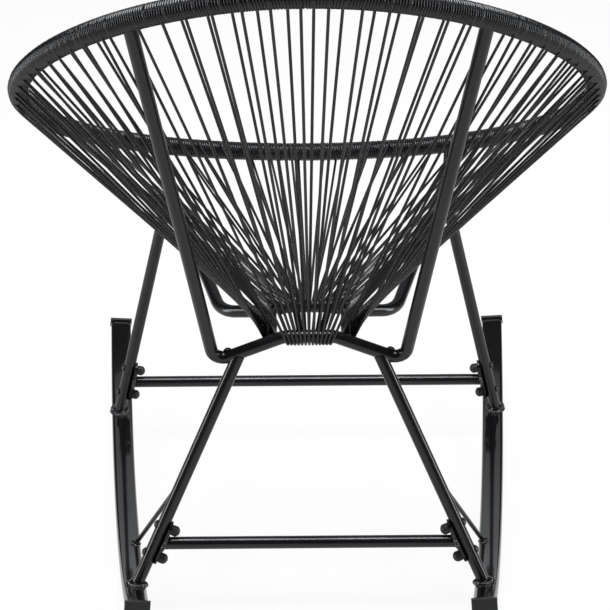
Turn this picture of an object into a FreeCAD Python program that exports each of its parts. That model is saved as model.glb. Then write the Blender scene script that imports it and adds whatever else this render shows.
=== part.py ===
import FreeCAD, Part
import math
import os

# Rocking chair with an egg-shaped seat strung with cord, after a photograph taken from behind.
# Millimetres. +Z is up, the sitter faces -Y, the sitter's left is +X.
# The origin lies on the floor under the middle of the overall width and depth.

Vec = FreeCAD.Vector
X_AXIS = Vec(1, 0, 0)
Z_AXIS = Vec(0, 0, 1)

# Seat rim: a tube bent to an egg, wound with cord all round
rim_width = 740.0
rim_length = 843.0
rim_taper = 0.162
rim_tilt = 32.0
rim_centre_y = 37.0
rim_centre_z = 635.5
rim_tube_diameter = 19.0
rim_tube_wall = 1.2
cord_diameter = 3.5
rear_upright_turn = 38.5
front_stay_turn = 150.0

# Frame tubes under the seat, all of one diameter
frame_tube_diameter = 16.0
frame_tube_wall = 1.2
rear_corner = Vec(117, 157, 322)
rear_corner_bend = 15.0
hub_bar_half = 30.0
hub_bar_y = 169.0
hub_bar_z = 362.0
hub_bar_bend = 30.0
front_corner = Vec(198, -252, 405)
front_corner_bend = 25.0
stay_knee = Vec(112, 40, 335)
stay_knee_bend = 45.0
stay_end_turn = 30.0

# Hub bow: the bent rod in front of the hub bar that the side and front strands hook round
bow_rod_diameter = 10.0
bow_half_width = 48.0
bow_front_y = 62.0
bow_front_z = 352.0
bow_corner_bend = 30.0

# Strands: each loop is one run of cord from the rim, round the hub and back to the rim
rear_loops = 13
side_loops = 23
front_half_loops = 6
bow_side_loops = 17
bow_corner_loops = 1
bow_front_loops = 11
stay_margin = 10.5
upright_margin = 13.0
cord_clearance = 0.15
cord_lead = 9.0

# Rockers: flat tubes bent to an arc, toed out to the front and leaning in with the legs
rocker_radius = 950.0
rocker_tube_width = 30.0
rocker_tube_height = 15.0
rocker_tube_wall = 1.5
rocker_tube_corner = 3.0
rocker_low_x = 249.0
rocker_low_y = 14.1
rocker_toe = 6.3
rocker_lean = 6.0
rocker_front_reach = 421.0
rocker_rear_reach = 275.0
cap_flange = 4.0
cap_overhang = 1.0
cap_plug_depth = 12.0
cap_clearance = 0.2

# Legs: straight tubes from the rockers up to the frame tubes
leg_diameter = 16.0
leg_wall = 1.2
front_leg_reach = 247.0
rear_leg_reach = 209.0
front_foot_inset = -4.0
rear_foot_inset = 3.0
front_bolt_offset = 31.0
rear_bolt_offset = 21.0
leg_seat_drop = 14.0
leg_plug_length = 26.0
weld_leg = 4.0

# Braces from the rear legs to the rockers
brace_diameter = 6.0
brace_leg_rise = 155.0
brace_foot_reach = 79.0
brace_foot_inset = 8.0

# Crossbars with a bolted plate at each end
crossbar_diameter = 16.0
crossbar_wall = 1.2
front_crossbar_rise = 51.0
rear_crossbar_rise = 65.0
plate_length = 60.0
plate_width = 20.0
plate_thickness = 3.0
plate_bolt_pitch = 40.0

# Screws, washers, nuts and nut covers
bolt_diameter = 6.0
bolt_hole_clearance = 0.4
bolt_head_diameter = 11.0
bolt_head_height = 3.3
washer_diameter = 12.0
washer_thickness = 1.2
nut_width = 10.0
nut_height = 5.0
bolt_end = 2.5
cover_diameter = 13.5
cover_height = 11.0
cover_dome = 4.5
cover_gap = 0.1

# Radii and lengths that follow
rim_radius = rim_tube_diameter / 2 + cord_diameter
rim_half_width = rim_width / 2 - rim_radius
rim_half_length = rim_length / 2 - rim_radius
frame_radius = frame_tube_diameter / 2
leg_radius = leg_diameter / 2
cord_radius = cord_diameter / 2
bolt_radius = bolt_diameter / 2
hole_radius = bolt_radius + bolt_hole_clearance / 2
LONG = 2 * rim_length


def unit(vector):
    """The vector's direction, with length one."""
    return vector * (1 / vector.Length)


def arc_between(start, tangent, end):
    """The arc that leaves start along tangent and ends at end."""
    chord = end - start
    half_turn = tangent.getAngle(chord) / 2
    middle = start + unit(tangent + unit(chord)) * (chord.Length / (2 * math.cos(half_turn)))
    return Part.Arc(start, middle, end).toShape()


def biarc(start, start_tangent, end, end_tangent):
    """Two arcs that join two points smoothly, each leaving along its own tangent."""
    span = end - start
    tangents = start_tangent + end_tangent
    bend = 2 * (1 - start_tangent.dot(end_tangent))
    along = span.dot(tangents)
    reach = (math.sqrt(along ** 2 + bend * span.dot(span)) - along) / bend
    first = start + start_tangent * reach
    second = end - end_tangent * reach
    join = (first + second) * 0.5
    return [arc_between(start, start_tangent, join), arc_between(join, unit(second - first), end)]


def rounded_path(corners, bends):
    """Straight runs through the corners, with an arc of the given radius at each inner corner."""
    edges = []
    start = corners[0]
    for before, corner, after, bend in zip(corners, corners[1:], corners[2:], bends):
        arriving = unit(corner - before)
        leaving = unit(after - corner)
        setback = bend * math.tan(arriving.getAngle(leaving) / 2)
        arc_start = corner - arriving * setback
        arc_end = corner + leaving * setback
        edges.append(Part.LineSegment(start, arc_start).toShape())
        edges.append(arc_between(arc_start, arriving, arc_end))
        start = arc_end
    edges.append(Part.LineSegment(start, corners[-1]).toShape())
    return edges


def swept(edges, radius):
    """A round bar of the given radius along a smooth path."""
    first = edges[0]
    tangent = first.tangentAt(first.FirstParameter)
    circle = Part.Circle(first.valueAt(first.FirstParameter), tangent, radius).toShape()
    return Part.Wire(edges).makePipeShell([Part.Wire([circle])], True, False)


def rod(start, end, radius):
    """A straight round bar between two points."""
    run = end - start
    return Part.makeCylinder(radius, run.Length, start, run)


def block(centre, first, second, third, sizes):
    """A box about a centre, with its sides along three square directions."""
    box = Part.makeBox(*sizes, Vec(-sizes[0] / 2, -sizes[1] / 2, -sizes[2] / 2))
    box.Placement = FreeCAD.Placement(centre, FreeCAD.Rotation(first, second, third, "XYZ"))
    return box


def main_piece(shape):
    """The largest solid of a cut, without the offcuts beyond the seat."""
    return max(shape.Solids, key=lambda solid: solid.Volume)


def mirrored(shape):
    """The same piece on the sitter's right."""
    return shape.mirror(Vec(0, 0, 0), X_AXIS)


def edge_point(edges, length):
    """The point and direction at a length along a chain of edges."""
    for edge in edges:
        if length <= edge.Length:
            break
        length -= edge.Length
    parameter = edge.getParameterByLength(min(length, edge.Length))
    return edge.valueAt(parameter), unit(edge.tangentAt(parameter))


# Egg of the rim, in the tilted plane of the seat. Turn 0 is the top of the back, 180 the front.
rim_centre = Vec(0, rim_centre_y, rim_centre_z)
rim_up = Vec(0, math.cos(math.radians(rim_tilt)), math.sin(math.radians(rim_tilt)))
egg_turns = [math.radians(turn) for turn in range(0, 181)]
egg_spread = max(math.sin(turn) * (1 - rim_taper * math.cos(turn)) for turn in egg_turns)


def egg_point(turn):
    """A point of the egg: an ellipse whose width shrinks towards the top of the back."""
    angle = math.radians(turn)
    across = rim_half_width * math.sin(angle) * (1 - rim_taper * math.cos(angle)) / egg_spread
    return rim_centre + X_AXIS * across + rim_up * (rim_half_length * math.cos(angle))


def egg_tangent(turn):
    """The egg's direction of travel, from the formula's derivative."""
    angle = math.radians(turn)
    across = rim_half_width * (math.cos(angle) - rim_taper * math.cos(2 * angle)) / egg_spread
    return unit(X_AXIS * across - rim_up * (rim_half_length * math.sin(angle)))


def egg_edges(first_turn, last_turn, spans):
    """A stretch of the egg as biarcs."""
    turns = [first_turn + (last_turn - first_turn) * step / spans for step in range(spans + 1)]
    edges = []
    for start, end in zip(turns, turns[1:]):
        edges += biarc(egg_point(start), egg_tangent(start), egg_point(end), egg_tangent(end))
    return edges


# Left half of the rim from the top of the back to the front, split where the tubes are welded on
rear_quarter = egg_edges(0, rear_upright_turn, 1)
side_stretch = egg_edges(rear_upright_turn, front_stay_turn, 3)
front_quarter = egg_edges(front_stay_turn, 180, 1)
half_rim = rear_quarter + side_stretch + front_quarter
rim_halves = {}
for name, radius in (("tube", rim_tube_diameter / 2), ("bore", rim_tube_diameter / 2 - rim_tube_wall),
                     ("cord", rim_radius)):
    half = swept(half_rim, radius)
    rim_halves[name] = half.fuse(mirrored(half)).removeSplitter()
rim_solid = rim_halves["tube"]
rim_tube = rim_solid.cut(rim_halves["bore"])

# Rear frame tube: down from the back of the rim, round two corners and across under the seat
rear_upright_top = egg_point(rear_upright_turn)
hub_bar_end = Vec(hub_bar_half, hub_bar_y, hub_bar_z)
rear_half = [rear_upright_top, rear_corner, hub_bar_end]
rear_corners = rear_half + [Vec(-p.x, p.y, p.z) for p in reversed(rear_half)]
rear_bends = [rear_corner_bend, hub_bar_bend, hub_bar_bend, rear_corner_bend]
rear_path = rounded_path(rear_corners, rear_bends)
rear_solid = swept(rear_path, frame_radius)
rear_bore = swept(rear_path, frame_radius - frame_tube_wall)

# Hub bow, from the rear tube's left arm round to its right arm
rear_arm = unit(hub_bar_end - rear_corner)
bow_end = rear_corner + rear_arm * ((bow_half_width - rear_corner.x) / rear_arm.x)
bow_corner = Vec(bow_half_width, bow_front_y, bow_front_z)
bow_corners = [bow_end, bow_corner, Vec(-bow_half_width, bow_front_y, bow_front_z),
               Vec(-bow_end.x, bow_end.y, bow_end.z)]
bow_path = rounded_path(bow_corners, [bow_corner_bend, bow_corner_bend])
bow_solid = swept(bow_path, bow_rod_diameter / 2)
hub_bow = main_piece(bow_solid.cut(rear_solid))

# Front stays: down from the front of the rim, back under the seat over the front leg and in to the hub bow
stay_top = egg_point(front_stay_turn)
bow_bend = bow_path[1]
stay_end = edge_point([bow_bend], bow_bend.Length * stay_end_turn / 90)[0]
stay_path = rounded_path([stay_top, front_corner, stay_knee, stay_end], [front_corner_bend, stay_knee_bend])
stay_solid = swept(stay_path, frame_radius)
stay_bore = swept(stay_path, frame_radius - frame_tube_wall)
stay_arm = unit(stay_knee - front_corner)


# Left rocker: an arc in a plane that is toed out and leans in. Reach is counted forwards from its low point.
toe = math.radians(rocker_toe)
lean = math.radians(rocker_lean)
rocker_forward = Vec(math.sin(toe), -math.cos(toe), 0)
rocker_outward = Vec(math.cos(toe), math.sin(toe), 0) * math.cos(lean) + Z_AXIS * math.sin(lean)
rocker_upward = Z_AXIS * math.cos(lean) - Vec(math.cos(toe), math.sin(toe), 0) * math.sin(lean)
edge_drop = (rocker_tube_width / 2 - rocker_tube_corner) * math.sin(lean)
corner_lift = rocker_tube_corner * (1 - math.cos(lean))
rocker_low = Vec(rocker_low_x, rocker_low_y, edge_drop + corner_lift)
rocker_centre = rocker_low + rocker_upward * rocker_radius


def rocker_point(reach, depth):
    """A point of the rocker's middle plane, at a depth above its running face."""
    angle = math.asin(reach / rocker_radius)
    radial = rocker_forward * math.sin(angle) - rocker_upward * math.cos(angle)
    return rocker_centre + radial * (rocker_radius - depth)


def rocker_bar(inset):
    """The rocker as a solid bar, drawn in from its outside by an inset."""
    low, high = inset, rocker_tube_height - inset
    front_low, front_high = rocker_point(rocker_front_reach, low), rocker_point(rocker_front_reach, high)
    rear_low, rear_high = rocker_point(-rocker_rear_reach, low), rocker_point(-rocker_rear_reach, high)
    outline = Part.Wire([
        Part.Arc(rear_low, rocker_point(0, low), front_low).toShape(),
        Part.LineSegment(front_low, front_high).toShape(),
        Part.Arc(front_high, rocker_point(0, high), rear_high).toShape(),
        Part.LineSegment(rear_high, rear_low).toShape(),
    ])
    width = rocker_tube_width - 2 * inset
    face = Part.Face(outline)
    face.translate(rocker_outward * (-width / 2))
    return face.extrude(rocker_outward * width)


rocker_block = rocker_bar(0)
long_edges = [edge for edge in rocker_block.Edges if isinstance(edge.Curve, Part.Circle)]
rocker_solid = rocker_block.makeFillet(rocker_tube_corner, long_edges)
rocker = rocker_solid.cut(rocker_bar(rocker_tube_wall))


def rocker_cap(reach, end_sign):
    """A moulded plug: a flange over the tube's end and a body pushed into it."""
    middle = rocker_point(reach, rocker_tube_height / 2)
    radial = unit(rocker_centre - middle)
    outward = rocker_outward.cross(radial) * end_sign
    across = rocker_outward * -end_sign
    flange_sizes = (cap_flange, rocker_tube_width + 2 * cap_overhang, rocker_tube_height + 2 * cap_overhang)
    flange = block(middle + outward * (cap_flange / 2), outward, across, radial, flange_sizes)
    outer_face = max(flange.Faces, key=lambda face: (face.CenterOfMass - middle).dot(outward))
    flange = flange.makeFillet(cap_overhang, outer_face.Edges)
    bore_shrink = 2 * (rocker_tube_wall + cap_clearance)
    plug_sizes = (cap_plug_depth, rocker_tube_width - bore_shrink, rocker_tube_height - bore_shrink)
    plug = block(middle - outward * (cap_plug_depth / 2), outward, across, radial, plug_sizes)
    return flange.fuse(plug).removeSplitter()


front_cap = rocker_cap(rocker_front_reach, 1)
rear_cap = rocker_cap(-rocker_rear_reach, -1)


def dome(base, outward, radius, height):
    """A segment of a sphere that stands on a flat round base."""
    ball = (radius ** 2 + height ** 2) / (2 * height)
    latitude = math.degrees(math.asin((ball - height) / ball))
    return Part.makeSphere(ball, base - outward * (ball - height), outward, latitude, 90, 360)


def button_screw(seat, outward, length):
    """A screw whose domed head sits at the seat, with its shank running inwards."""
    head = dome(seat, outward, bolt_head_diameter / 2, bolt_head_height)
    return head.fuse(rod(seat, seat - outward * length, bolt_radius)).removeSplitter()


def leg_set(reach, inset, bolt_point, arm, arm_solid, bar_rise):
    """A left leg from the rocker to a frame tube, with its plug, its top screw and its crossbar fixings."""
    foot = rocker_point(reach, rocker_tube_height) - rocker_outward * inset
    rough = unit(bolt_point - foot)
    bolt_up = unit(rough - arm * rough.dot(arm))
    top = bolt_point - bolt_up * leg_seat_drop
    axis = unit(top - foot)
    overrun = leg_diameter
    bar = rod(foot - axis * rocker_tube_height / 2, top + axis * overrun, leg_radius)
    bead = Part.makeCone(leg_radius + 1.5 * weld_leg, leg_radius, 2 * weld_leg, foot - axis * weld_leg, axis)
    solid = main_piece(bar.fuse(bead).cut(rocker_block).cut(arm_solid))
    plug_foot = top - axis * leg_plug_length
    bore = rod(foot - axis * rocker_tube_height, plug_foot, leg_radius - leg_wall)
    mouth = rod(plug_foot, top + axis * overrun, leg_radius - leg_wall)
    shank_length = frame_tube_diameter + leg_seat_drop
    head_seat = bolt_point + bolt_up * frame_radius
    screw = button_screw(head_seat, bolt_up, shank_length)
    screw_hole = rod(head_seat, head_seat - bolt_up * (shank_length + bolt_radius), hole_radius)
    thread = rod(head_seat, head_seat - bolt_up * (shank_length + bolt_radius), bolt_radius)
    plug = main_piece(mouth.common(solid).cut(thread))
    leg = main_piece(solid.cut(bore).cut(mouth).cut(screw_hole))

    inward = unit(X_AXIS * -1 - axis * (X_AXIS * -1).dot(axis))
    sideways = axis.cross(inward)
    bar_point = foot + axis * bar_rise
    plate_centre = bar_point + inward * (leg_radius + plate_thickness / 2)
    plate = block(plate_centre, axis, sideways, inward, (plate_length, plate_width, plate_thickness))
    corner_edges = [edge for edge in plate.Edges if abs(edge.tangentAt(0).dot(inward)) > 0.99]
    plate = plate.makeFillet(plate_width * 0.45, corner_edges)
    fixings = {"crossbar_bolts": [], "crossbar_washers": [], "crossbar_nuts": [], "nut_covers": []}
    for side in (-1, 1):
        through = bar_point + axis * (side * plate_bolt_pitch / 2)
        outer_seat = through - inward * leg_radius
        inner_seat = through + inward * (leg_radius + plate_thickness)
        nut_seat = inner_seat + inward * washer_thickness
        nut_top = nut_seat + inward * nut_height
        bolt_length = leg_diameter + plate_thickness + washer_thickness + nut_height + bolt_end
        hole = rod(outer_seat - inward * leg_radius, nut_seat, hole_radius)
        leg = leg.cut(hole)
        plate = plate.cut(hole)
        fixings["crossbar_bolts"].append(button_screw(outer_seat, inward * -1, bolt_length))
        washer = rod(inner_seat, nut_seat, washer_diameter / 2)
        fixings["crossbar_washers"].append(washer.cut(hole))
        hexagon = [nut_seat + (axis * math.cos(k * math.pi / 3) + sideways * math.sin(k * math.pi / 3))
                   * (nut_width / math.sqrt(3)) for k in range(7)]
        nut_bar = Part.Face(Part.makePolygon(hexagon)).extrude(inward * nut_height)
        shank = rod(outer_seat, outer_seat + inward * bolt_length, bolt_radius)
        fixings["crossbar_nuts"].append(nut_bar.cut(shank))
        skirt_top = nut_seat + inward * (cover_height - cover_dome)
        cover = rod(nut_seat, skirt_top, cover_diameter / 2)
        cover = cover.fuse(dome(skirt_top, inward, cover_diameter / 2, cover_dome)).removeSplitter()
        pocket = rod(nut_seat, nut_top + inward * cover_gap, nut_width / math.sqrt(3) + cover_gap)
        shank_room = rod(nut_seat, nut_top + inward * (bolt_end + cover_gap), bolt_radius + cover_gap)
        fixings["nut_covers"].append(cover.cut(pocket).cut(shank_room))
    return {"foot": foot, "axis": axis, "inward": inward, "bar_point": bar_point, "leg": leg, "plug": plug,
            "solid": solid, "plate": plate, "screw": screw, "screw_hole": screw_hole, "fixings": fixings}


rear_bolt = rear_corner + rear_arm * rear_bolt_offset
front_bolt = front_corner + stay_arm * front_bolt_offset
rear_leg = leg_set(-rear_leg_reach, rear_foot_inset, rear_bolt, rear_arm, rear_solid, rear_crossbar_rise)
front_leg = leg_set(front_leg_reach, front_foot_inset, front_bolt, stay_arm, stay_solid, front_crossbar_rise)

# Frame tubes, seated on the rim and drilled for the screws into the leg tops
rear_holes = rear_leg["screw_hole"].fuse(mirrored(rear_leg["screw_hole"]))
rear_frame_tube = main_piece(rear_solid.cut(rim_solid)).cut(rear_bore).cut(rear_holes)
stay_shell = main_piece(stay_solid.cut(rim_solid).cut(bow_solid)).cut(stay_bore)
front_stay = stay_shell.cut(front_leg["screw_hole"])

# Cord winding on the rim, parted where the four tubes are welded to it
rim_wrap = rim_halves["cord"].cut(rim_solid)
for tube_solid in (rear_solid, stay_solid, mirrored(stay_solid)):
    rim_wrap = rim_wrap.cut(tube_solid)
rim_wrap = Part.Compound([piece for piece in rim_wrap.Solids if piece.Volume > frame_radius ** 3])


def crossbar(leg):
    """A level tube between the two plates of a pair of legs."""
    seat = leg["bar_point"] + leg["inward"] * (leg_radius + plate_thickness)
    left = Vec(rim_half_width, seat.y, seat.z)
    right = Vec(-rim_half_width, seat.y, seat.z)
    bar = rod(left, right, crossbar_diameter / 2)
    bar = bar.cut(rod(left, right, crossbar_diameter / 2 - crossbar_wall))
    across = leg["axis"].cross(leg["inward"])
    beyond = block(seat - leg["inward"] * (LONG / 2), leg["axis"], across, leg["inward"], (LONG, LONG, LONG))
    return main_piece(bar.cut(beyond).cut(mirrored(beyond)))


def rear_brace():
    """A thin rod between the rear leg and the rocker's top face."""
    head = rear_leg["foot"] + rear_leg["axis"] * brace_leg_rise
    heel = rocker_point(-brace_foot_reach, rocker_tube_height) - rocker_outward * brace_foot_inset
    overrun = unit(head - heel) * brace_diameter
    bar = rod(heel - overrun, head, brace_diameter / 2)
    return main_piece(bar.cut(rear_leg["solid"]).cut(rocker_block))


brace = rear_brace()


def strand_loop(first, second, hook, hook_axis, hook_radius):
    """One run of cord: off the rim's outer side, half round the hook and back to the rim's inner side."""
    bend_radius = hook_radius + cord_radius + cord_clearance
    pull = unit((first[0] + second[0]) * 0.5 - hook)
    offset = unit(hook_axis.cross(pull))
    slant = math.sqrt(1 - pull.dot(hook_axis) ** 2)
    centre = hook - pull * (hook_radius * (1 / slant - 1))
    normal = pull.cross(offset)
    stations = []
    for step in range(5):
        angle = math.pi * step / 4
        point = centre + (offset * math.cos(angle) - pull * math.sin(angle)) * bend_radius
        stations.append((point, offset * -math.sin(angle) - pull * math.cos(angle)))
    drop = math.sqrt(rim_radius ** 2 - (cord_lead - cord_radius) ** 2) + cord_clearance
    for (rim_point, rim_tangent), sign, index in ((first, 1, 0), (second, -1, len(stations) + 1)):
        lead = unit(rim_tangent.cross(pull))
        lead = lead * math.copysign(cord_lead, sign * lead.dot(offset))
        bend_end = stations[0 if sign > 0 else -1][0]
        run = unit(bend_end - rim_point - lead)
        stations.insert(index, (rim_point + lead + run * drop, run * sign))
    outlines = []
    for point, tangent in stations:
        side = unit(normal - tangent * normal.dot(tangent))
        across = tangent.cross(side)
        corners = [point + side * (cord_radius * math.cos(k * math.pi / 4))
                   + across * (cord_radius * math.sin(k * math.pi / 4)) for k in range(9)]
        outlines.append(Part.makePolygon(corners))
    return Part.makeLoft(outlines, True, True)


def chain_length(edges):
    """The length of a chain of edges."""
    return sum(edge.Length for edge in edges)


def spread(edges, count, start_margin, end_margin):
    """Evenly spaced points and directions on a chain of edges, half a step in from its margins."""
    room = chain_length(edges) - start_margin - end_margin
    return [edge_point(edges, start_margin + room * (k + 0.5) / count) for k in range(count)]


# Rear strands hook round the middle of the rear tube, between its two uprights
rear_rim = spread(rear_quarter, rear_loops, 0, upright_margin)
rear_rim = [(Vec(-p.x, p.y, p.z), Vec(t.x, -t.y, -t.z)) for p, t in reversed(rear_rim)] + rear_rim
back_strands = []
for k in range(rear_loops):
    hook_x = hub_bar_half * ((2 * k + 1) / rear_loops - 1)
    hook = Vec(hook_x, hub_bar_y, hub_bar_z)
    back_strands.append(strand_loop(rear_rim[2 * k], rear_rim[2 * k + 1], hook, X_AXIS, frame_radius))

# Side and front strands hook round the bow: along its side, fanned round its corner and along its front,
# with a space in the corner where the stay is welded on
bow_side, bow_front = bow_path[0], bow_path[2]
stay_room = bow_bend.Length * stay_end_turn / 90
hook_runs = [
    (bow_side_loops, frame_radius + cord_diameter, bow_side.Length),
    (bow_corner_loops, bow_side.Length, bow_side.Length + stay_room - stay_margin),
    (bow_front_loops, bow_side.Length + stay_room + stay_margin,
     bow_side.Length + bow_bend.Length + bow_front.Length / 2),
]
bow_hooks = []
for count, start, end in hook_runs:
    for k in range(count):
        bow_hooks.append(edge_point([bow_side, bow_bend, bow_front], start + (end - start) * (k + 0.5) / count))
side_rim = spread(side_stretch, 2 * side_loops, upright_margin, upright_margin)
front_rim = spread(front_quarter, 2 * front_half_loops, upright_margin, 0)
left_rim = side_rim + front_rim
left_loops = []
for k, (hook, direction) in enumerate(bow_hooks):
    left_loops.append(strand_loop(left_rim[2 * k], left_rim[2 * k + 1], hook, direction, bow_rod_diameter / 2))
side_strands = left_loops[:side_loops]
front_strands = left_loops[side_loops:]
front_strands = front_strands + [mirrored(loop) for loop in front_strands]

# The nodes: pieces on the middle plane, pieces in mirrored pairs, and groups of like fasteners
nodes = {
    "rim_tube": rim_tube,
    "rim_cord_winding": rim_wrap,
    "rear_frame_tube": rear_frame_tube,
    "hub_bow": hub_bow,
    "back_strands": Part.Compound(back_strands),
    "front_strands": Part.Compound(front_strands),
    "rear_crossbar": crossbar(rear_leg),
    "front_crossbar": crossbar(front_leg),
}
pairs = {
    "front_stay": front_stay,
    "side_strands": Part.Compound(side_strands),
    "rocker": rocker,
    "rocker_front_cap": front_cap,
    "rocker_rear_cap": rear_cap,
    "rear_leg": rear_leg["leg"],
    "front_leg": front_leg["leg"],
    "rear_leg_plug": rear_leg["plug"],
    "front_leg_plug": front_leg["plug"],
    "rear_leg_brace": brace,
    "rear_crossbar_plate": rear_leg["plate"],
    "front_crossbar_plate": front_leg["plate"],
}
for name, shape in pairs.items():
    nodes["left_" + name] = shape
    nodes["right_" + name] = mirrored(shape)
groups = {"frame_screws": [rear_leg["screw"], front_leg["screw"]]}
for leg in (rear_leg, front_leg):
    for name, shapes in leg["fixings"].items():
        groups.setdefault(name, []).extend(shapes)
for name, shapes in groups.items():
    nodes[name] = Part.Compound(shapes + [mirrored(shape) for shape in shapes])

# The origin goes under the middle of the overall depth
back_y = egg_point(0).y + rim_radius
front_y = front_cap.BoundBox.YMin
shift = Vec(0, -(back_y + front_y) / 2, 0)

os.makedirs("parts", exist_ok=True)
for name, shape in nodes.items():
    shape.translate(shift)
    shape.exportStep("parts/" + name + ".step")
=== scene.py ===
import math
import bpy
import numpy as np
from mathutils import Matrix


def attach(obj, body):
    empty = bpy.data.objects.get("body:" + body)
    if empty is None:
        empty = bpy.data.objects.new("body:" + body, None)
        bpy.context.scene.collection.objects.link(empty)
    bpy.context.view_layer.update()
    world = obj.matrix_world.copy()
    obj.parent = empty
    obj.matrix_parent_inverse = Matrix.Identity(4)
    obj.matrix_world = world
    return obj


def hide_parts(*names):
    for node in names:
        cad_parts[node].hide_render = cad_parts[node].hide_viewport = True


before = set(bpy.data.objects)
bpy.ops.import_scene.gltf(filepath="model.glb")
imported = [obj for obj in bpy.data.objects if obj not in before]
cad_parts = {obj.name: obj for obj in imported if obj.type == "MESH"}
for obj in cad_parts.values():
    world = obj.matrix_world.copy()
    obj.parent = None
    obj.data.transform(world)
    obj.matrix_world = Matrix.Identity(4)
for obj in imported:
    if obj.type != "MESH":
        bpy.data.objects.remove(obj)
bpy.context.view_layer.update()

# Cord winding on the seat rim
# One long PVC cord is wound tightly round the egg-shaped rim tube, several hundred turns in all.
# It is wound by hand, so the turns bunch a little and lie askew on the side that faces the seat.

rim_half_width = 0.357
rim_half_length = 0.4085
rim_taper = 0.162
rim_tilt = math.radians(32)
rim_centre = np.array([0, 0.04436, 0.6355])
rim_tube_radius = 0.0095
cord_radius = 0.00175
turn_pitch = 0.0033
turn_sides = 12
turn_share = np.array([0, 0.05, 0.15, 0.32, 0.5, 0.68, 0.85, 0.95])
turn_roundness = 0.97
turn_lift_spread = 0.00005
turn_slant = 0.0036
slant_spread = 0.35
slant_run = 6
seat_side_angle = math.radians(215)
rng = np.random.default_rng(11)


def unit(vectors):
    """Each vector divided by its own length."""
    return vectors / np.linalg.norm(vectors, axis=-1, keepdims=True)


def egg(turn):
    """The rim's centre line: w sin t (1 - k cos t) / m across, and l cos t along the slope.

    Here w and l are the half width and half length, k is the taper and m the greatest width without w.
    """
    sample = np.linspace(0, np.pi, 2001)
    widest = np.max(np.sin(sample) * (1 - rim_taper * np.cos(sample)))
    across = rim_half_width * np.sin(turn) * (1 - rim_taper * np.cos(turn)) / widest
    along = rim_half_length * np.cos(turn)
    slope = np.array([0, math.cos(rim_tilt), math.sin(rim_tilt)])
    return rim_centre + across[..., None] * np.array([1, 0, 0]) + along[..., None] * slope


egg_turns = np.linspace(0, 2 * np.pi, 20001)
egg_steps = np.linalg.norm(np.diff(egg(egg_turns), axis=0), axis=-1)
egg_lengths = np.concatenate([[0], np.cumsum(egg_steps)])
rim_length = egg_lengths[-1]


def rim_frame(length):
    """Point, direction, outward and upward side of the rim at a length from the top of the back."""
    turn = np.interp(np.mod(length, rim_length), egg_lengths, egg_turns)
    point = egg(turn)
    direction = unit(egg(turn + 1e-4) - egg(turn - 1e-4))
    upward = np.broadcast_to(np.array([0, -math.sin(rim_tilt), math.cos(rim_tilt)]), point.shape)
    return point, direction, np.cross(upward, direction), upward


def mesh_piece(name, points, quads, uv):
    """A smooth mesh object from points, quads as rows of four indices, and one UV per quad corner."""
    mesh = bpy.data.meshes.new(name)
    mesh.vertices.add(len(points))
    mesh.vertices.foreach_set("co", points.astype(np.float32).ravel())
    mesh.loops.add(quads.size)
    mesh.loops.foreach_set("vertex_index", quads.astype(np.int32).ravel())
    mesh.polygons.add(len(quads))
    mesh.polygons.foreach_set("loop_start", np.arange(0, quads.size, 4, dtype=np.int32))
    mesh.update(calc_edges=True)
    mesh.polygons.foreach_set("use_smooth", np.ones(len(quads), dtype=bool))
    mesh.uv_layers.new(name="UVMap").data.foreach_set("uv", uv.astype(np.float32).ravel())
    mesh.validate()
    piece = bpy.data.objects.new(name, mesh)
    bpy.context.scene.collection.objects.link(piece)
    return piece


turns = int(round(rim_length / turn_pitch))
pitch = rim_length / turns
turn_index = np.repeat(np.arange(turns), len(turn_share))
share = np.tile(turn_share, turns)
turn_lift = rng.normal(0, turn_lift_spread, turns)[turn_index]
around = np.arange(turn_sides) / turn_sides
angle = 2 * np.pi * around
slant_places = np.arange(0, turns + slant_run, slant_run)
slants = np.interp(np.arange(turns), slant_places, rng.normal(1, slant_spread, len(slant_places)))
seat_side = np.clip(np.cos(angle - seat_side_angle), 0, 1) ** 2
coil_length = pitch * (turn_index + share)[:, None] + pitch * around[None, :]
coil_length = coil_length + turn_slant * seat_side[None, :] * slants[turn_index][:, None]
point, direction, outward, upward = rim_frame(coil_length)
ridge = cord_radius * np.sqrt(1 - turn_roundness * (2 * share - 1) ** 2)
coil_radius = (rim_tube_radius + cord_radius + ridge + turn_lift)[:, None, None]
coil = point + coil_radius * (np.cos(angle)[:, None] * outward + np.sin(angle)[:, None] * upward)
row, column = np.meshgrid(np.arange(len(share)), np.arange(turn_sides), indexing="ij")
next_column = (column + 1) % turn_sides
turn_step = np.where(column + 1 == turn_sides, len(turn_share), 0)


def coil_corner(row, column, step):
    """The index of a grid point, where going once round the tube moves on by one turn."""
    return ((row + step) % len(share)) * turn_sides + column


coil_quads = np.stack([coil_corner(row, column, 0), coil_corner(row + 1, column, 0),
                       coil_corner(row + 1, next_column, turn_step),
                       coil_corner(row, next_column, turn_step)], -1)
coil_u = np.stack([row, row + 1, row + 1, row], -1) / len(turn_share)
coil_v = np.stack([column, column, column + 1, column + 1], -1) / turn_sides
rim_winding = mesh_piece("rim_winding", coil.reshape(-1, 3), coil_quads.reshape(-1, 4),
                         np.stack([coil_u, coil_v], -1).reshape(-1, 2))


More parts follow.
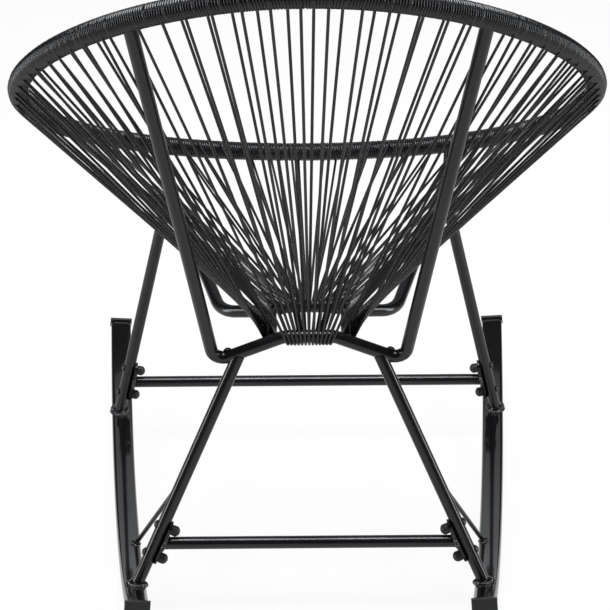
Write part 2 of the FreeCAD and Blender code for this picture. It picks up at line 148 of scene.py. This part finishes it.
class Shade:
    """A shader socket that Python operators join to other sockets or numbers with Math nodes."""

    def __init__(self, tree, socket=None):
        self.tree = tree
        self.socket = socket

    def node(self, kind, settings=None, inputs=None, output=0):
        """Adds a node of a type, sets its settings first, then the values or links of its sockets."""
        added = self.tree.nodes.new("ShaderNode" + kind)
        for key, value in (settings or {}).items():
            setattr(added, key, value)
        for key, value in (inputs or {}).items():
            if isinstance(value, Shade):
                self.tree.links.new(value.socket, added.inputs[key])
            else:
                added.inputs[key].default_value = value
        return Shade(self.tree, added.outputs[output] if added.outputs else None)

    def maths(self, operation, first, second):
        """A Math node on two sockets or numbers."""
        return self.node("Math", {"operation": operation}, {0: first, 1: second})

    def __add__(self, other):
        return self.maths("ADD", self, other)

    def __radd__(self, other):
        return self.maths("ADD", other, self)

    def __sub__(self, other):
        return self.maths("SUBTRACT", self, other)

    def __rsub__(self, other):
        return self.maths("SUBTRACT", other, self)

    def __mul__(self, other):
        return self.maths("MULTIPLY", self, other)

    def __rmul__(self, other):
        return self.maths("MULTIPLY", other, self)

    def noise(self, place, scale, detail=2.0):
        """Noise between 0 and 1 at a scale in cycles per metre."""
        return self.node("TexNoise", None, {"Vector": place, "Scale": scale, "Detail": detail})

    def bump(self, strength, height):
        """A normal that follows a height, a fifth of a millimetre deep at full strength."""
        return self.node("Bump", None, {"Strength": strength, "Distance": 0.0002, "Height": height})

    def tone(self, factor, dark, light):
        """A colour between two colours."""
        return self.node("Mix", {"data_type": "RGBA"}, {0: factor, 6: (*dark, 1), 7: (*light, 1)}, output=2)


def new_finish(name):
    """An empty material, the shade that builds its nodes, and its Object coordinates."""
    material = bpy.data.materials.new(name)
    material.use_nodes = True
    material.node_tree.nodes.clear()
    shade = Shade(material.node_tree)
    return material, shade, shade.node("TexCoord", output="Object")


def close_finish(shade, inputs):
    """Ends a material in one Principled shader with the given sockets."""
    surface = shade.node("BsdfPrincipled", None, inputs)
    shade.node("OutputMaterial", None, {"Surface": surface})


def cord_finish():
    """Extruded black PVC: a glossy skin, slightly mottled, with a fine grain and dull spots."""
    material, shade, place = new_finish("black_pvc_cord")
    mottle = shade.noise(place, 60.0)
    grime = shade.noise(place, 420.0, 4.0)
    grain = shade.noise(place, 2600.0)
    close_finish(shade, {
        "Base Color": shade.tone(mottle, (0.0028, 0.0029, 0.0036), (0.0070, 0.0072, 0.0088)),
        "Roughness": 0.20 + grime * 0.16,
        "Normal": shade.bump(0.05, grain + grime * 0.6)})
    return material


def dress(piece, material, slot, *nodes):
    """Gives a new piece its material, and lets it ride the chair in place of its CAD nodes; the slot is not
    used.
    """
    piece.data.materials.append(material)
    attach(piece, "root")
    if nodes:
        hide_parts(*nodes)


black_cord = cord_finish()
dress(rim_winding, black_cord, "seat_cord", "rim_cord_winding")

# Strands of the seat
# The same cord runs from the rim down to the hub, half round a bar there and back up to the rim, all taut.
# Each run leaves the winding on its outer side and comes back on its inner side, so there are two layers.

frame_tube_radius = 0.008
bow_rod_radius = 0.005
hub_bar_half = 0.030
hub_bar_place = np.array([0, 0.17636, 0.362])
bow_end = np.array([0.048, 0.17388, 0.35372])
bow_corner = np.array([0.048, 0.06936, 0.352])
bow_bend = 0.030
rear_loops = 13
side_loops = 23
front_loops = 6
bow_side_loops = 17
bow_corner_loops = 1
bow_front_loops = 11
stay_turn = math.radians(30)
stay_margin = 0.0105
upright_margin = 0.013
rear_upright_length = np.interp(math.radians(38.5), egg_turns, egg_lengths)
front_stay_length = np.interp(math.radians(150), egg_turns, egg_lengths)
place_spread = 0.0028
place_limit = 0.0045
hook_clearance = 0.00015
hook_arc = np.linspace(0, np.pi, 9)
rim_arc = np.linspace(0, math.radians(200), 11)
run_share = np.linspace(0.02, 0.98, 5)[:, None]
strand_sides = 8
blind_end = 0.05
mirror = np.array([-1.0, 1, 1])


def spread(start, end, count):
    """Lengths between two lengths, half a step in from each, a little uneven as if placed by hand."""
    step = (end - start) / count
    stray = np.clip(rng.normal(0, place_spread, count), -place_limit, place_limit)
    return start + step * (np.arange(count) + 0.5) + stray


def sleeve(name, rings, run, closed=False):
    """A mesh of rows of rings, each ring joined to the next and, when closed, the last one to the first.

    The UV is the run along the row, and the share of the way round the ring.
    """
    rows, stations, sides = rings.shape[:3]
    steps = np.arange(stations if closed else stations - 1)
    row, station, column = np.meshgrid(np.arange(rows), steps, np.arange(sides), indexing="ij")
    here = (row * stations + station) * sides
    ahead = (row * stations + (station + 1) % stations) * sides
    after = (column + 1) % sides
    quads = np.stack([here + column, here + after, ahead + after, ahead + column], -1)
    start, end = run[row, station], run[row, station + 1]
    uv = np.stack([np.stack([start, start, end, end], -1),
                   np.stack([column, column + 1, column + 1, column], -1) / sides], -1)
    return mesh_piece(name, rings.reshape(-1, 3), quads.reshape(-1, 4), uv.reshape(-1, 2))


def strand_mesh(name, paths, side_hint):
    """Round cords along rows of points, x(i, k) = p(i) + r (cos k side + sin k across), with blind ends."""
    tangent = unit(np.gradient(paths, axis=1))
    side = unit(side_hint - np.sum(side_hint * tangent, -1, keepdims=True) * tangent)
    across = np.cross(tangent, side)
    turn = 2 * np.pi * np.arange(strand_sides) / strand_sides
    swell = np.full(paths.shape[1], cord_radius)
    swell[[0, -1]] = cord_radius * blind_end
    ring = np.cos(turn)[:, None] * side[:, :, None, :] + np.sin(turn)[:, None] * across[:, :, None, :]
    steps = np.linalg.norm(np.diff(paths, axis=1), axis=-1)
    run = np.concatenate([np.zeros((len(paths), 1)), np.cumsum(steps, 1)], 1)
    return sleeve(name, paths[:, :, None, :] + swell[:, None, None] * ring, run)


def strand_paths(rim_lengths, hooks, hook_axes, hook_radius):
    """Paths of loops: an arc over the rim, a straight run, a half circle round the hook, and back.

    The half circle of radius a is c + a (cos q n - sin q d), with d the pull towards the rim and n square
    to d and to the hook.
    """
    first, second = rim_lengths[0::2], rim_lengths[1::2]
    bend_radius = hook_radius + cord_radius + hook_clearance
    middle = (rim_frame(first)[0] + rim_frame(second)[0]) / 2
    pull = unit(middle - hooks)
    offset = unit(np.cross(hook_axes, pull))
    bend = hooks[:, None] + bend_radius * (np.cos(hook_arc)[:, None] * offset[:, None]
                                           - np.sin(hook_arc)[:, None] * pull[:, None])
    ends = []
    for lengths, sign in ((first, 1), (second, -1)):
        climb = rim_arc / (2 * np.pi) * turn_pitch
        point, direction, _, _ = rim_frame(lengths)
        lead = unit(np.cross(direction, pull))
        lead = lead * np.sign(np.sum(lead * offset, -1, keepdims=True)) * sign
        beyond = unit(np.cross(lead, direction))
        beyond = beyond * np.sign(np.sum(beyond * pull, -1, keepdims=True))
        wrap_radius = rim_tube_radius + cord_radius
        ends.append(point[:, None] + wrap_radius * (np.cos(rim_arc)[:, None] * lead[:, None]
                                                    + np.sin(rim_arc)[:, None] * beyond[:, None])
                    + climb[:, None] * direction[:, None])
    down = ends[0][:, :1] * (1 - run_share) + bend[:, :1] * run_share
    up = bend[:, -1:] * (1 - run_share) + ends[1][:, :1] * run_share
    paths = np.concatenate([ends[0][:, ::-1], down, bend, up, ends[1]], 1)
    return paths, np.broadcast_to(np.cross(pull, offset)[:, None], paths.shape)


hook_steps = (2 * np.arange(rear_loops) + 1) / rear_loops - 1
rear_hooks = hub_bar_place + hook_steps[:, None] * np.array([hub_bar_half, 0, 0])
rear_axes = np.broadcast_to(np.array([1.0, 0, 0]), rear_hooks.shape)
rear_reach = rear_upright_length - upright_margin
rear_lengths = spread(-rear_reach, rear_reach, 2 * rear_loops)
back_strands = strand_mesh("back_strands_cord",
                           *strand_paths(rear_lengths, rear_hooks, rear_axes, frame_tube_radius))
dress(back_strands, black_cord, "seat_cord", "back_strands")

side_length = bow_end[1] - bow_corner[1] - bow_bend
bend_length = bow_bend * np.pi / 2
front_length = bow_corner[0] - bow_bend


def bow_place(length):
    """Point and direction on the left half of the bow: forwards, a quarter circle, then inwards."""
    ahead = np.clip(length, 0, side_length)
    turn = np.clip((length - side_length) / bow_bend, 0, np.pi / 2)
    inward = np.clip(length - side_length - bend_length, 0, None)
    point = np.stack([bow_end[0] - bow_bend * (1 - np.cos(turn)) - inward,
                      bow_end[1] - ahead - bow_bend * np.sin(turn),
                      bow_end[2] + (bow_corner[2] - bow_end[2]) * ahead / side_length], -1)
    return point, np.stack([-np.sin(turn), -np.cos(turn), 0 * turn], -1)


def middles(start, end, count):
    """The middles of equal steps between two lengths."""
    return start + (end - start) * (np.arange(count) + 0.5) / count


stay_place = side_length + bow_bend * stay_turn
bow_hooks, bow_axes = bow_place(np.concatenate([
    middles(frame_tube_radius + 2 * cord_radius, side_length, bow_side_loops),
    middles(side_length, stay_place - stay_margin, bow_corner_loops),
    middles(stay_place + stay_margin, side_length + bend_length + front_length, bow_front_loops)]))


def left_half_paths():
    """Loops from the rear upright round to the middle of the rim's front, on the left half of the bow."""
    lengths = np.concatenate([
        spread(rear_upright_length + upright_margin, front_stay_length - upright_margin, 2 * side_loops),
        spread(front_stay_length + upright_margin, rim_length / 2, 2 * front_loops)])
    return strand_paths(lengths, bow_hooks, bow_axes, bow_rod_radius)


left_paths, left_hint = left_half_paths()
right_paths, right_hint = (rows * mirror for rows in left_half_paths())
for name, paths, hint in (("left_side_strands", left_paths, left_hint),
                          ("right_side_strands", right_paths, right_hint)):
    side_strands = strand_mesh(name + "_cord", paths[:side_loops], hint[:side_loops])
    dress(side_strands, black_cord, "seat_cord", name)
front_strands = strand_mesh("front_strands_cord",
                            np.concatenate([left_paths[side_loops:], right_paths[side_loops:]]),
                            np.concatenate([left_hint[side_loops:], right_hint[side_loops:]]))
dress(front_strands, black_cord, "seat_cord", "front_strands")

# Frame tubes, legs, crossbars and braces
# Round steel tube, bent cold and welded, then powder coated satin black in one go.
# The coat is slightly textured like orange peel and duller where dust sticks to it.


def powder_coat():
    """Satin black powder coat: fine orange peel, cloudy gloss and a little dust."""
    material, shade, place = new_finish("satin_black_powder_coat")
    cloud = shade.noise(place, 14.0, 3.0)
    peel = shade.noise(place, 1400.0)
    dust = shade.noise(place, 260.0, 6.0)
    close_finish(shade, {
        "Base Color": shade.tone(dust, (0.0030, 0.0031, 0.0037), (0.0075, 0.0077, 0.0092)),
        "Roughness": 0.15 + cloud * 0.10 + dust * 0.06,
        "Normal": shade.bump(0.04, peel)})
    return material


def repaint(material, *names):
    """Puts a material on CAD nodes in place of their plain one."""
    for name in names:
        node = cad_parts[name]
        node.data.materials.clear()
        node.data.materials.append(material)


frame_coat = powder_coat()
sides = ("left_", "right_")
repaint(frame_coat, "rim_tube", "rear_frame_tube", "hub_bow", "front_crossbar", "rear_crossbar")
for side in sides:
    repaint(frame_coat, side + "front_stay", side + "rear_leg", side + "front_leg", side + "rear_leg_brace",
            side + "front_crossbar_plate", side + "rear_crossbar_plate")

# Rockers and their end caps
# Flat oval steel tube rolled to an arc, toed out to the front and leaning in with the legs.
# It is coated in a glossier black than the frame, and a moulded plug with a flange closes each end.

rocker_radius = 0.950
rocker_low = np.array([0.249, 0.02146, 0.00127])
rocker_toe = math.radians(6.3)
rocker_lean = math.radians(6)
rocker_width = 0.030
rocker_height = 0.015
rocker_corner = 0.006
rocker_reaches = (-0.275, 0.421)
rocker_stations = 97
rocker_sides = 48
closed_end = 0.02
rocker_forward = np.array([math.sin(rocker_toe), -math.cos(rocker_toe), 0])
level_outward = np.array([math.cos(rocker_toe), math.sin(rocker_toe), 0])
rocker_outward = level_outward * math.cos(rocker_lean) + np.array([0, 0, math.sin(rocker_lean)])
rocker_upward = np.array([0, 0, math.cos(rocker_lean)]) - level_outward * math.sin(rocker_lean)


def rocker_mesh(name, flip):
    """A flat oval carried along an arc: x(t, k) = c - n(t) (R - h / 2 - v(k)) + o u(k).

    The oval (u, v) has arcs about four centres, and each end is drawn in to a flat face.
    """
    first, last = (math.asin(reach / rocker_radius) for reach in rocker_reaches)
    turn = np.linspace(first, last, rocker_stations)
    turn = np.concatenate([turn[:1], turn, turn[-1:]])
    draw = np.ones(len(turn))
    draw[[0, -1]] = closed_end
    normal = rocker_upward * np.cos(turn)[:, None] - rocker_forward * np.sin(turn)[:, None]
    angle = 2 * np.pi * (np.arange(rocker_sides) + 0.5) / rocker_sides
    across = np.sign(np.cos(angle)) * (rocker_width / 2 - rocker_corner) + rocker_corner * np.cos(angle)
    rise = np.sign(np.sin(angle)) * (rocker_height / 2 - rocker_corner) + rocker_corner * np.sin(angle)
    radial = rocker_radius - rocker_height / 2 - draw[:, None] * rise
    points = (rocker_low + rocker_upward * rocker_radius - normal[:, None] * radial[..., None]
              + rocker_outward * (draw[:, None] * across)[..., None])
    if flip:
        points = (points * mirror)[:, ::-1]
    run = np.arange(len(turn)) / len(turn)
    return sleeve(name, points[None], run[None])


def rocker_enamel():
    """Glossy black coat: nearly smooth, with fine rubbing marks and a cloudy clear layer."""
    material, shade, place = new_finish("gloss_black_rocker_coat")
    cloud = shade.noise(place, 10.0, 3.0)
    rub = shade.noise(place, 500.0, 5.0)
    close_finish(shade, {
        "Base Color": shade.tone(cloud, (0.003, 0.003, 0.0035), (0.008, 0.008, 0.0085)),
        "Roughness": 0.07 + cloud * 0.05 + rub * 0.05,
        "Coat Weight": 0.6 + cloud * 0.3,
        "Coat Roughness": 0.04,
        "Normal": shade.bump(0.03, shade.noise(place, 900.0))})
    return material


def moulded_plastic():
    """Moulded black polyethylene with a fine spark-eroded grain."""
    material, shade, place = new_finish("moulded_black_plastic")
    grain = shade.noise(place, 1800.0, 3.0)
    close_finish(shade, {
        "Base Color": shade.tone(grain, (0.008, 0.008, 0.008), (0.020, 0.020, 0.020)),
        "Roughness": 0.42 + grain * 0.14,
        "Normal": shade.bump(0.25, grain)})
    return material


rocker_coat = rocker_enamel()
black_plastic = moulded_plastic()
for side in sides:
    dress(rocker_mesh(side + "rocker_tube", side == "right_"), rocker_coat, "rocker_enamel", side + "rocker")
    repaint(black_plastic, side + "rocker_front_cap", side + "rocker_rear_cap")

# Weld beads
# Runs of weld left unground round the leg feet, crossbar ends and brace feet, under the rockers' gloss coat.
# Each run is a string of overlapping puddles, so it is rippled and never quite even.

rear_corner = np.array([0.117, 0.16436, 0.322])
hub_bar_end = hub_bar_place + np.array([hub_bar_half, 0, 0])
front_corner = np.array([0.198, -0.24464, 0.405])
stay_knee = np.array([0.112, 0.04736, 0.335])
rear_leg_reach = -0.209
front_leg_reach = 0.247
rear_foot_inset = 0.003
front_foot_inset = -0.004
rear_screw_offset = 0.021
front_screw_offset = 0.031
leg_seat_drop = 0.014
leg_foot_radius = 0.0085
plate_thickness = 0.003
rear_bar_rise = 0.065
front_bar_rise = 0.051
brace_radius = 0.003
brace_leg_rise = 0.155
brace_foot_reach = -0.079
brace_foot_inset = 0.008
foot_bead = 0.0031
small_bead = 0.0022
bead_seat = 0.6
puddle_pitch = 0.0032
puddle_height = 0.24
bead_waves = ((3, 0.16), (7, 0.12))
wave_start_limit = 6
bead_stations = 72
bead_sides = 10
bead_start_hint = np.array([0.3, 0.5, 0.8])
across_chair = np.array([-1.0, 0, 0])


def rocker_top(reach):
    """Point and normal of the middle of the left rocker's top face, at a reach forwards of its low point."""
    turn = math.asin(reach / rocker_radius)
    normal = rocker_upward * math.cos(turn) - rocker_forward * math.sin(turn)
    return rocker_low + rocker_upward * rocker_radius - normal * (rocker_radius - rocker_height), normal


def leg_line(reach, inset, corner, after, offset):
    """Foot, axis and foot normal of a left leg that ends under a screw in the tube from corner to after."""
    foot, normal = rocker_top(reach)
    foot = foot - rocker_outward * inset
    arm = unit(after - corner)
    screw = corner + arm * offset
    rough = unit(screw - foot)
    top = screw - unit(rough - arm * np.dot(rough, arm)) * leg_seat_drop
    return foot, unit(top - foot), normal


def bar_seat(line, rise):
    """Where a crossbar meets the plate on a leg, and the plate's normal."""
    foot, axis, _ = line
    inward = unit(across_chair - axis * np.dot(across_chair, axis))
    return foot + axis * rise + inward * (frame_tube_radius + plate_thickness), inward


def bead(centre, axis, normal, bar_radius, size):
    """A run of weld round a bar on a flat face: a ring whose section swells with each puddle.

    The ring's radius is that of the bar and 0.6 of the bead's, and it is sheared along the bar into the face.
    """
    turn = np.linspace(0, 2 * np.pi, bead_stations + 1)[:-1]
    first = unit(np.cross(axis, bead_start_hint))
    second = np.cross(axis, first)
    around = np.cos(turn)[:, None] * first + np.sin(turn)[:, None] * second
    reach = bar_radius + bead_seat * size
    middle = centre + reach * around - axis * (reach * (around @ normal) / np.dot(axis, normal))[:, None]
    swell = 1 + puddle_height * np.cos(round(2 * np.pi * reach / puddle_pitch) * turn)
    for waves, height in bead_waves:
        swell = swell + height * np.sin(waves * turn + rng.uniform(0, wave_start_limit))
    along = unit(np.roll(middle, -1, 0) - np.roll(middle, 1, 0))
    outward = unit(around - along * np.sum(around * along, -1, keepdims=True))
    up = np.cross(along, outward)
    section = np.linspace(0, 2 * np.pi, bead_sides + 1)[:-1]
    return middle[:, None] + size * swell[:, None, None] * (np.cos(section)[:, None] * outward[:, None]
                                                            + np.sin(section)[:, None] * up[:, None])


rear_leg_line = leg_line(rear_leg_reach, rear_foot_inset, rear_corner, hub_bar_end, rear_screw_offset)
front_leg_line = leg_line(front_leg_reach, front_foot_inset, front_corner, stay_knee, front_screw_offset)
rear_seat, rear_inward = bar_seat(rear_leg_line, rear_bar_rise)
front_seat, front_inward = bar_seat(front_leg_line, front_bar_rise)
heel, heel_normal = rocker_top(brace_foot_reach)
heel = heel - rocker_outward * brace_foot_inset
brace_axis = unit(rear_leg_line[0] + rear_leg_line[1] * brace_leg_rise - heel)
left_beads = np.stack([
    bead(*rear_leg_line, leg_foot_radius, foot_bead),
    bead(*front_leg_line, leg_foot_radius, foot_bead),
    bead(rear_seat, across_chair, rear_inward, frame_tube_radius, small_bead),
    bead(front_seat, across_chair, front_inward, frame_tube_radius, small_bead),
    bead(heel, brace_axis, heel_normal, brace_radius, small_bead)])
beads = np.concatenate([left_beads, (left_beads * mirror)[:, ::-1]])
bead_run = np.tile(np.arange(bead_stations + 1) / bead_stations, (len(beads), 1))
dress(sleeve("weld_beads", beads, bead_run, closed=True), rocker_coat, "rocker_enamel")

# Screws, bolts, washers, nuts, nut covers and the plugs inside the leg tops
# Black coated steel fasteners with domed heads, moulded covers, and turned steel plugs that nobody sees.
# The screws go through the frame tubes into the plugs, and the bolts through the legs and crossbar plates.


def black_steel():
    """Chemically blackened steel: dark metal with worn, brighter specks."""
    material, shade, place = new_finish("blackened_steel")
    wear = shade.noise(place, 700.0, 5.0)
    close_finish(shade, {
        "Base Color": shade.tone(wear, (0.018, 0.018, 0.019), (0.05, 0.05, 0.052)),
        "Metallic": 0.4 + wear * 0.3,
        "Roughness": 0.28 + wear * 0.2})
    return material


def turned_steel():
    """Plain turned steel, slightly uneven in tone and gloss."""
    material, shade, place = new_finish("turned_steel")
    tooling = shade.noise(place, 1500.0, 2.0)
    close_finish(shade, {
        "Base Color": shade.tone(tooling, (0.42, 0.42, 0.43), (0.58, 0.58, 0.59)),
        "Metallic": 1.0,
        "Roughness": 0.3 + tooling * 0.2})
    return material


repaint(black_steel(), "frame_screws", "crossbar_bolts", "crossbar_washers", "crossbar_nuts")
repaint(black_plastic, "nut_covers")
plug_steel = turned_steel()
for side in sides:
    repaint(plug_steel, side + "rear_leg_plug", side + "front_leg_plug")

# Floor, light and camera
# White floor and surround, a large soft light overhead, a tall one at each side, a broad weak one in front.
# The camera stands behind the chair at about standing height and looks down on it.

floor_half = 6
floor_corners = [(-floor_half, -floor_half, 0), (floor_half, -floor_half, 0),
                 (floor_half, floor_half, 0), (-floor_half, floor_half, 0)]
floor_grey = (0.86, 0.86, 0.86, 1)
floor_glow = 0.88
white = (1, 1, 1, 1)
pool_middle = 1.6
pool_fade = 0.42
pool_least = 0.06
pool_most = 0.72
sky_light = 0.40
sky_seen = 1.0
sky_mirrored = 0.03
lamp_tint = (0.94, 0.97, 1.0)
camera_lens = 117.9
camera_sensor = 36
camera_place = (0.0152, 2.3602, 1.4355)
camera_heading = math.radians(179.73)
camera_tilt = math.radians(90 - 25.28)
camera_roll = math.radians(-0.30)


def studio_floor():
    """A floor that is white to the camera, and takes the shadow.

    In reflections it glows as a painted pool of light that fades with the distance from the chair.
    """
    material, shade, place = new_finish("white_floor")
    camera_ray = shade.node("LightPath", output="Is Camera Ray")
    glossy_ray = shade.node("LightPath", output="Is Glossy Ray")
    seen = shade.maths("MINIMUM", camera_ray + glossy_ray, 1.0)
    distance = shade.node("VectorMath", {"operation": "LENGTH"}, {0: place}, output="Value")
    # Painted pool of light: the floor's glow seen in reflections fades with the distance from the chair.
    fading = shade.maths("MAXIMUM", pool_middle - distance * pool_fade, pool_least)
    pool = shade.maths("MINIMUM", fading, pool_most)
    diffuse = shade.node("BsdfDiffuse", None, {"Color": floor_grey})
    strength = shade.maths("MAXIMUM", camera_ray, pool)
    glow = shade.node("Emission", None, {"Color": white, "Strength": strength})
    mixed = shade.node("MixShader", None, {0: seen * floor_glow, 1: diffuse, 2: glow})
    shade.node("OutputMaterial", None, {"Surface": mixed})
    return material


floor_mesh = bpy.data.meshes.new("floor")
floor_mesh.from_pydata(floor_corners, [], [(0, 1, 2, 3)])
floor = bpy.data.objects.new("floor", floor_mesh)
bpy.context.scene.collection.objects.link(floor)
floor_mesh.materials.append(studio_floor())

world = bpy.data.worlds.new("studio")
world.use_nodes = True
world.node_tree.nodes.clear()
sky = Shade(world.node_tree)
seen_ray = sky.node("LightPath", output="Is Camera Ray") + sky.node("LightPath", output="Is Transmission Ray")
glossy_ray = sky.node("LightPath", output="Is Glossy Ray")
sky_strength = sky_light + seen_ray * (sky_seen - sky_light) - glossy_ray * (sky_light - sky_mirrored)
backdrop = sky.node("Background", None, {"Color": white, "Strength": sky_strength})
sky.node("OutputWorld", None, {"Surface": backdrop})
bpy.context.scene.world = world


def soft_light(name, place, target, sizes, power):
    """A rectangular lamp at a place, turned to a target.

    Its first size stands upright in a lamp at the side, and lies across the chair in the others.
    """
    lamp = bpy.data.lights.new(name, "AREA")
    lamp.shape = "RECTANGLE"
    lamp.size, lamp.size_y = sizes
    lamp.energy = power
    lamp.color = lamp_tint
    holder = bpy.data.objects.new(name, lamp)
    away = unit(np.array(place, dtype=float) - np.array(target, dtype=float))
    side = unit(np.cross([0.0, 1.0, 0.001], away))
    turn = Matrix(np.stack([side, np.cross(away, side), away], 1).tolist()).to_4x4()
    holder.matrix_world = Matrix.Translation(place) @ turn
    holder.visible_camera = False
    bpy.context.scene.collection.objects.link(holder)


soft_light("overhead_light", (0.0, 0.25, 2.5), (0, 0.05, 0.5), (1.0, 1.0), 60)
soft_light("left_light", (2.3, 0.5, 1.05), (0, 0.1, 1.0), (2.0, 0.45), 30)
soft_light("right_light", (-2.3, 0.5, 1.05), (0, 0.1, 1.0), (2.0, 0.45), 30)
soft_light("front_light", (0.0, -2.2, 1.6), (0, 0.0, 0.6), (3.0, 3.0), 13)

camera_data = bpy.data.cameras.new("camera")
camera_data.lens = camera_lens
camera_data.sensor_width = camera_sensor
camera = bpy.data.objects.new("camera", camera_data)
camera.matrix_world = (Matrix.Translation(camera_place) @ Matrix.Rotation(camera_heading, 4, "Z")
                       @ Matrix.Rotation(camera_tilt, 4, "X") @ Matrix.Rotation(camera_roll, 4, "Z"))
bpy.context.scene.collection.objects.link(camera)
bpy.context.scene.camera = camera
bpy.context.scene.view_settings.view_transform = "Standard"
